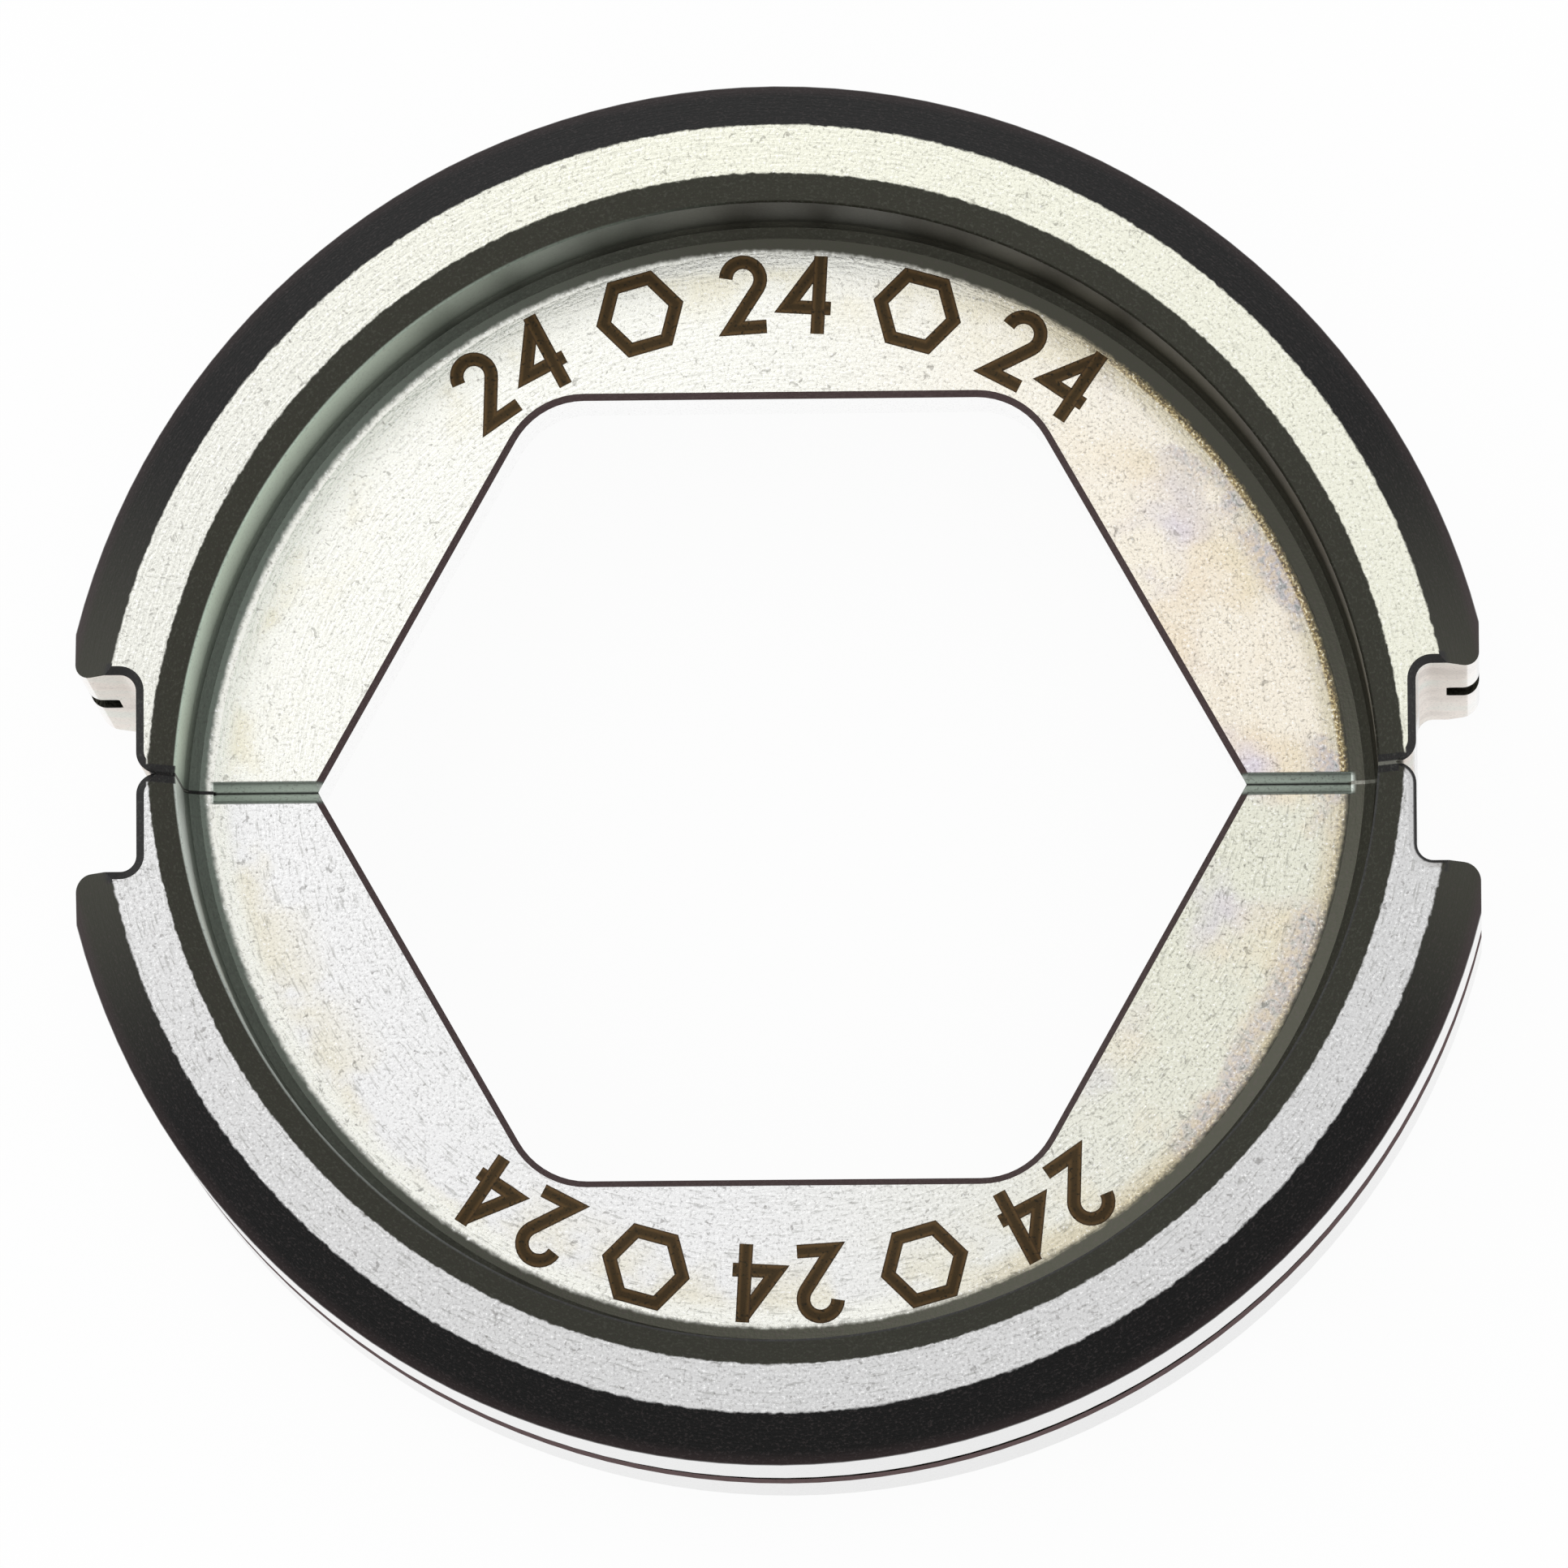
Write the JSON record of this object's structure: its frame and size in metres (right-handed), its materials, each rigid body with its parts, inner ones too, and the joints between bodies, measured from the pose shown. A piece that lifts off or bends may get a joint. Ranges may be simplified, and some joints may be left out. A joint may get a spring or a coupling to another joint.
{
  "type": "hexagonal crimping die",
  "caption": "Two loose half-round steel shells that close round a hexagonal nest to crimp a cable lug or connector in a press tool.",
  "frame": {"origin": "under the middle of the hexagonal nest, on the plane that the two rims lie on", "axes": "+Z along the bore, +Y from the lower half towards the upper half, +X along the parting line"},
  "size_m": [0.0426, 0.0422, 0.016],
  "materials": {
    "plated_steel": "machined tool steel with a bright zinc coat, faintly iridescent on the sunken web"
  },
  "bodies": {
    "root": {"upper_die_half": "plated_steel", "lower_die_half": "plated_steel"}
  },
  "joints": []
}
